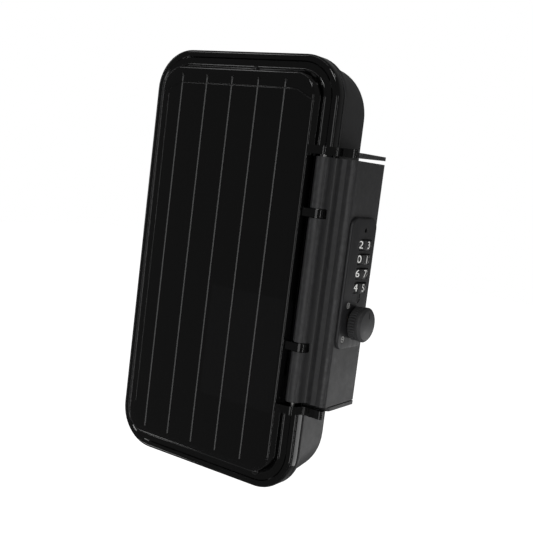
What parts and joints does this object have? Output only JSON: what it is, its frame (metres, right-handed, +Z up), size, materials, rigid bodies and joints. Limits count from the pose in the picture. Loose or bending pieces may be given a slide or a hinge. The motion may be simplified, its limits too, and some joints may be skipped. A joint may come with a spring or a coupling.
{
  "type": "lockable outlet cover box",
  "caption": "Wall-mounted weatherproof cover box with a smoked hinged lid, a side lock flap, a number-dial cam lock and a round thumb knob.",
  "frame": {"origin": "centre of the back of the box, on the wall face", "axes": "+Z up the long side, +X to the right seen from the front, +Y into the wall"},
  "size_m": [0.1365, 0.036, 0.207],
  "materials": {
    "black_shell": "fine matte moulded black",
    "smoke_cover": "polished smoked transparent, nearly black",
    "seal_rubber": "soft matte seal",
    "zinc_steel": "bright zinc",
    "lock_black": "satin black coating",
    "dial_black": "black with light numerals",
    "knob_black": "satin black, knurled side",
    "brass_trim": "turned"
  },
  "bodies": {
    "base": {"base_shell": "black_shell", "base_ear_upper": "black_shell", "base_ear_lower": "black_shell", "wall_gasket": "seal_rubber", "cover_gasket": "seal_rubber", "hinge_pin_upper": "zinc_steel", "hinge_pin_lower": "zinc_steel", "cable_grommet_left": "seal_rubber", "cable_grommet_right": "seal_rubber", "strike": "zinc_steel", "strike_screw_1": "zinc_steel", "strike_screw_2": "zinc_steel"},
    "cover": {"cover": "smoke_cover", "flap_hinge_pin": "zinc_steel"},
    "flap": {"lock_flap": "black_shell", "lock_plate": "lock_black", "lock_housing": "lock_black", "dial_arbor": "zinc_steel", "detent_spring": "zinc_steel", "knob_bushing": "brass_trim", "bushing_nut": "brass_trim", "lock_screw_1": "zinc_steel", "lock_screw_2": "zinc_steel", "lock_screw_3": "zinc_steel"},
    "knob": {"knob": "knob_black", "knob_spindle": "zinc_steel", "lock_cam": "zinc_steel", "cam_screw": "zinc_steel"},
    "dial_1": {"dial_1": "dial_black"},
    "dial_2": {"dial_2": "dial_black"},
    "dial_3": {"dial_3": "dial_black"},
    "dial_4": {"dial_4": "dial_black"}
  },
  "joints": [
    {"name": "cover_hinge", "type": "hinge", "parent": "base", "child": "cover", "pos_m": [-0.0572, -0.0195, 0], "axis": [0, 0, -1], "range_deg": [0, 115]},
    {"name": "flap_hinge", "type": "hinge", "parent": "cover", "child": "flap", "pos_m": [0.051, -0.0305, 0], "axis": [0, 0, -1], "range_deg": [0, 100]},
    {"name": "knob_turn", "type": "hinge", "parent": "flap", "child": "knob", "pos_m": [0.0681, -0.0135, -0.017], "axis": [-1, 0, 0], "range_deg": [0, 90]},
    {"name": "dial_1_spin", "type": "hinge", "parent": "flap", "child": "dial_1", "pos_m": [0.062, -0.0122, 0.0196], "axis": [0, 0, 1], "continuous": true},
    {"name": "dial_2_spin", "type": "hinge", "parent": "flap", "child": "dial_2", "pos_m": [0.062, -0.0122, 0.0129], "axis": [0, 0, 1], "continuous": true},
    {"name": "dial_3_spin", "type": "hinge", "parent": "flap", "child": "dial_3", "pos_m": [0.062, -0.0122, 0.0062], "axis": [0, 0, 1], "continuous": true},
    {"name": "dial_4_spin", "type": "hinge", "parent": "flap", "child": "dial_4", "pos_m": [0.062, -0.0122, -0.0005], "axis": [0, 0, 1], "continuous": true}
  ]
}
